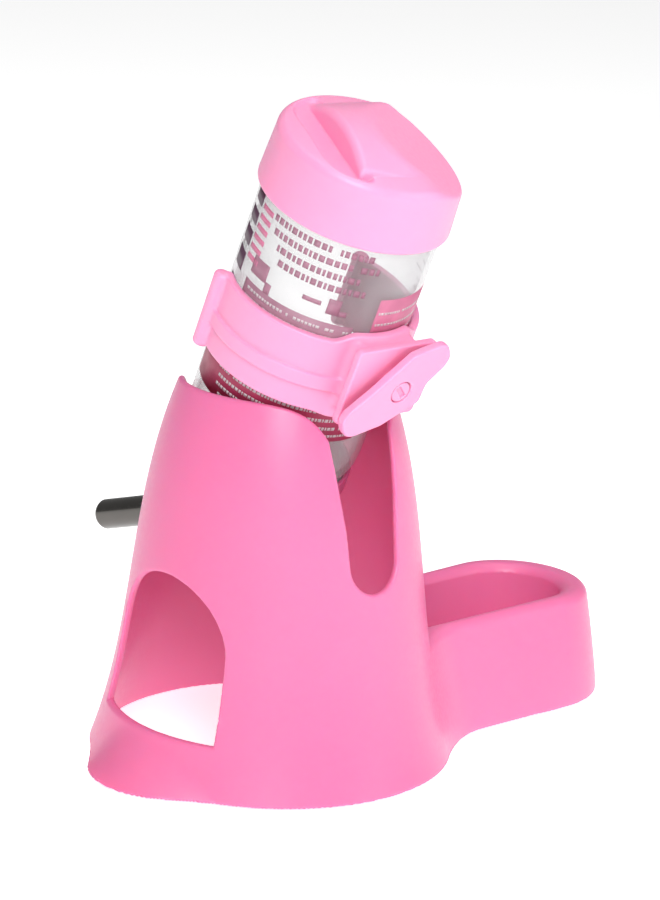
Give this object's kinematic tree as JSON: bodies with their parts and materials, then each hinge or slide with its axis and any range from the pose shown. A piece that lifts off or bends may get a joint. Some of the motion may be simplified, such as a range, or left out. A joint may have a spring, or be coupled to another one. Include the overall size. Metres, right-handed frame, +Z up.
{
  "type": "small animal drinking bottle stand",
  "caption": "Clear drinking bottle leaning in a hollow hut-shaped stand, with a refill cap, a bent steel drinking tube, a cage clip with a turning latch and a food bowl joined to the back",
  "frame": {"origin": "on the floor under the middle of the whole object's bounding box", "axes": "+Z up; the doorway of the tower faces -Y, the food bowl lies towards +Y, the drinking tube points to -X and the cage clip faces +X"},
  "size_m": [0.1217, 0.1652, 0.1686],
  "materials": {
    "stand_plastic": "satin, slightly translucent",
    "cap_plastic": "satin",
    "clear_plastic": "clear, glossy",
    "tube_steel": "polished stainless",
    "ball_steel": "polished",
    "seal_rubber": "matte"
  },
  "bodies": {
    "stand": {"hut_tower": "stand_plastic", "food_bowl": "stand_plastic"},
    "bottle": {"bottle": "clear_plastic"},
    "cap_seal": {"refill_cap_seal": "seal_rubber"},
    "refill_cap": {"refill_cap": "cap_plastic"},
    "spout": {"drinking_cap": "stand_plastic", "drinking_cap_seal": "seal_rubber", "drinking_tube": "tube_steel", "tube_bush": "seal_rubber"},
    "front_ball": {"front_ball": "ball_steel"},
    "rear_ball": {"rear_ball": "ball_steel"},
    "clip": {"clip_band": "cap_plastic", "latch_pin": "cap_plastic"},
    "latch": {"turn_latch": "cap_plastic"}
  },
  "joints": [
    {"name": "bottle_lift", "type": "slide", "parent": "stand", "child": "bottle", "axis": [0.3859, 0, 0.9225], "range_m": [0, 0.08]},
    {"name": "cap_lift", "type": "slide", "parent": "bottle", "child": "cap_seal", "axis": [0.3859, 0, 0.9225], "range_m": [0, 0.006]},
    {"name": "cap_turn", "type": "hinge", "parent": "cap_seal", "child": "refill_cap", "pos_m": [0.03712, -0.02815, 0.15535], "axis": [0.3859, 0, 0.9225], "range_deg": [0, 540]},
    {"name": "tube_swivel", "type": "hinge", "parent": "bottle", "child": "spout", "pos_m": [0.00394, -0.02815, 0.07601], "axis": [0.3859, 0, 0.9225], "range_deg": [-5, 4]},
    {"name": "front_ball_push", "type": "slide", "parent": "spout", "child": "front_ball", "axis": [0.9548, 0, 0.2974], "range_m": [0, 0.0015]},
    {"name": "rear_ball_push", "type": "slide", "parent": "spout", "child": "rear_ball", "axis": [0.9548, 0, 0.2974], "range_m": [0, 0.0015]},
    {"name": "clip_slide", "type": "slide", "parent": "bottle", "child": "clip", "axis": [0.3859, 0, 0.9225], "range_m": [0, 0.02]},
    {"name": "latch_turn", "type": "hinge", "parent": "clip", "child": "latch", "pos_m": [0.05059, -0.02695, 0.10203], "axis": [0.9225, 0, -0.3859], "continuous": true}
  ],
  "couplings": [
    {"joint": "cap_lift", "follows": "cap_turn", "m_per_rad": 0.00063662},
    {"joint": "rear_ball_push", "follows": "front_ball_push", "ratio": 1}
  ]
}
